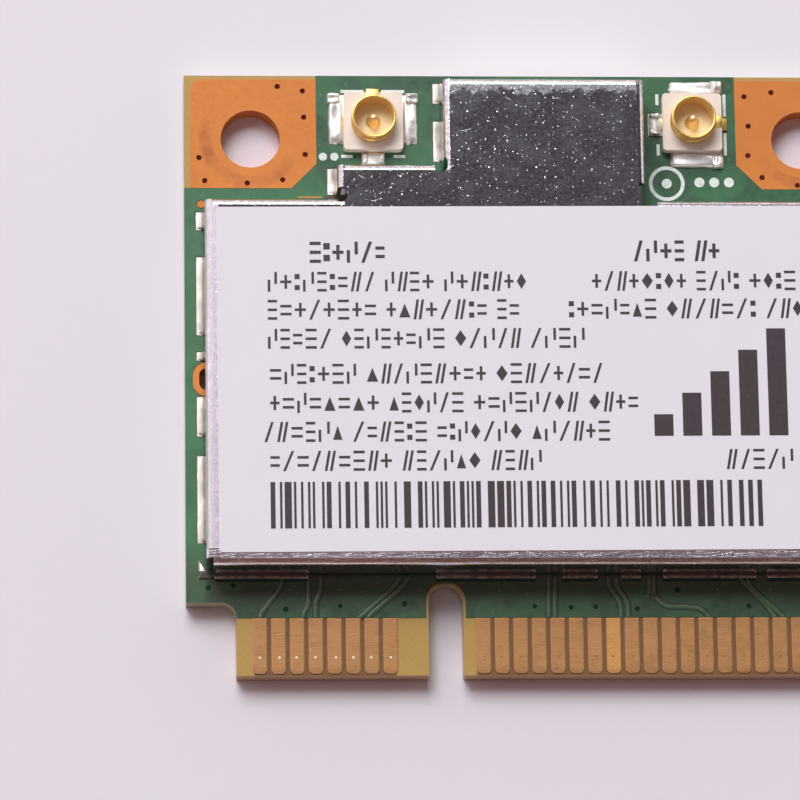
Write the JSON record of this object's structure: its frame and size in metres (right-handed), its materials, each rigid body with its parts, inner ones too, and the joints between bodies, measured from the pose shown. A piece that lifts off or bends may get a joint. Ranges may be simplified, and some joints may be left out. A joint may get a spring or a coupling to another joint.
{
  "type": "half-size mini wireless network card",
  "caption": "Small green edge-contact card with a folded shield under a white label, coaxial antenna receptacles and plated screw holes.",
  "frame": {"origin": "under the middle of the card, on the plane that it lies on", "axes": "+X along the edge contacts, +Y from the contacts to the screw end, +Z out of the component side"},
  "size_m": [0.03, 0.0268, 0.0032],
  "materials": {
    "laminate": "glass-fibre board, satin edges",
    "mask": "green solder mask, satin gloss",
    "copper_land": "bare copper, matte with a fine grain",
    "contact_gold": "thin gold over copper, satin",
    "plated_pad": "thin gold over copper, satin",
    "tinned_sheet": "tinned sheet, bright with fine scratches",
    "solder": "bright solder",
    "label_film": "white polyester film, satin",
    "label_ink": "dark printed ink",
    "white_ink": "white screen ink",
    "moulding": "cream moulded plastic, satin",
    "gold_plate": "gold-plated stamping, bright",
    "chip_black": "black moulding compound",
    "tinned_end": "tinned terminal",
    "ceramic_base": "pale ceramic",
    "crystal_cap": "plated metal lid",
    "ferrite": "dark grey ferrite",
    "ceramic_tan": "tan ceramic",
    "ceramic_black": "black glazed ceramic"
  },
  "bodies": {
    "root": {"board_core": "laminate", "solder_mask_top": "mask", "solder_mask_bottom": "mask", "left_screw_ground": "copper_land", "right_screw_ground": "copper_land", "contacts_top": "contact_gold", "contacts_bottom": "contact_gold", "leg_slot_plating": "copper_land", "shield_pads": "plated_pad", "shield_can": "tinned_sheet", "shield_solder": "solder", "shield_label": "label_film", "label_print": "label_ink", "silkscreen_marks": "white_ink", "left_coax_housing": "moulding", "left_coax_shell": "gold_plate", "left_coax_contact": "gold_plate", "right_coax_housing": "moulding", "right_coax_shell": "gold_plate", "right_coax_contact": "gold_plate", "coax_pads": "plated_pad", "coax_solder": "solder", "radio_chip": "chip_black", "radio_chip_terminals": "tinned_end", "crystal_base": "ceramic_base", "crystal_lid": "crystal_cap", "memory_chip": "chip_black", "supply_regulator": "chip_black", "power_inductor": "ferrite", "front_end_modules": "chip_black", "balun_filters": "ceramic_base", "capacitor_bodies": "ceramic_tan", "capacitor_ends": "tinned_end", "resistor_bodies": "ceramic_black", "resistor_ends": "tinned_end", "component_pads": "plated_pad", "test_pads_bottom": "plated_pad"}
  },
  "joints": []
}
